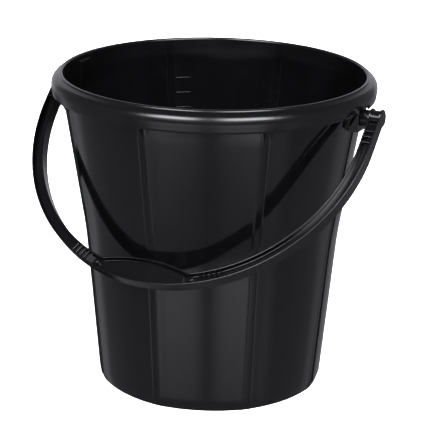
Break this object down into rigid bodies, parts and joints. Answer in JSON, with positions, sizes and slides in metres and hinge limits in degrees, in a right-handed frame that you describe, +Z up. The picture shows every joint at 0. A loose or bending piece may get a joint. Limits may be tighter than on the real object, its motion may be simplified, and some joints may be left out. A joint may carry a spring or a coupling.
{
  "type": "florist bucket",
  "caption": "Round tapered plastic bucket with a rolled rim, raised wall strips and a swinging plastic carry handle, for cut flowers and water.",
  "frame": {"origin": "centre of the foot ring, on the ground plane", "axes": "+Z up through the bucket's axis; X is parallel to the line the handle pivots on; the handle hangs down the -Y side at rest"},
  "size_m": [0.3222, 0.29, 0.285],
  "materials": {
    "bucket_plastic": "glossy black moulded polypropylene, faintly rippled and lightly scuffed",
    "handle_plastic": "satin black moulded polypropylene, with brighter rubbed edges"
  },
  "bodies": {
    "bucket": {"bucket_body": "bucket_plastic"},
    "handle": {"carry_handle": "handle_plastic"}
  },
  "joints": [
    {"name": "handle_swing", "type": "hinge", "parent": "bucket", "child": "handle", "pos_m": [0, 0, 0.2614], "axis": [-1, 0, 0], "range_deg": [0, 269]}
  ]
}
